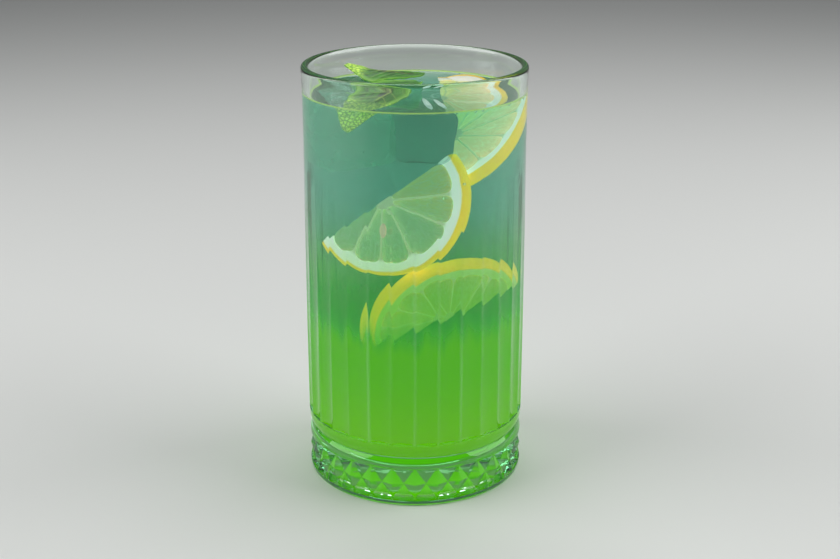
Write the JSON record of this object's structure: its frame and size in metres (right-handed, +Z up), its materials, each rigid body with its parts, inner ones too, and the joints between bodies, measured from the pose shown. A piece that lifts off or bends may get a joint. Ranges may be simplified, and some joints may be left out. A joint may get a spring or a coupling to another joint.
{
  "type": "glass of lemonade",
  "caption": "Tall fluted pressed-glass tumbler with a diamond-cut foot, filled with green lemonade, ice, mint leaves and lemon slices.",
  "frame": {"origin": "centre of the foot's underside, on the surface that the glass stands on", "axes": "+Z up along the tumbler's axis, -Y towards the side that the picture shows, +X to its right"},
  "size_m": [0.0786, 0.0786, 0.15],
  "materials": {
    "clear_glass": "clear polished pressed glass",
    "lemonade": "clear to cloudy green liquid",
    "lemon": "moist lemon rind and flesh",
    "ice": "wet clear ice with cloudy core",
    "mint": "fresh crinkled leaf"
  },
  "bodies": {
    "root": {"tumbler": "clear_glass", "lemonade": "lemonade", "lemon_slice_upper": "lemon", "ice_cube_left": "ice", "ice_cube_front": "ice", "mint_leaf_front": "mint", "mint_leaf_back": "mint"}
  },
  "joints": []
}
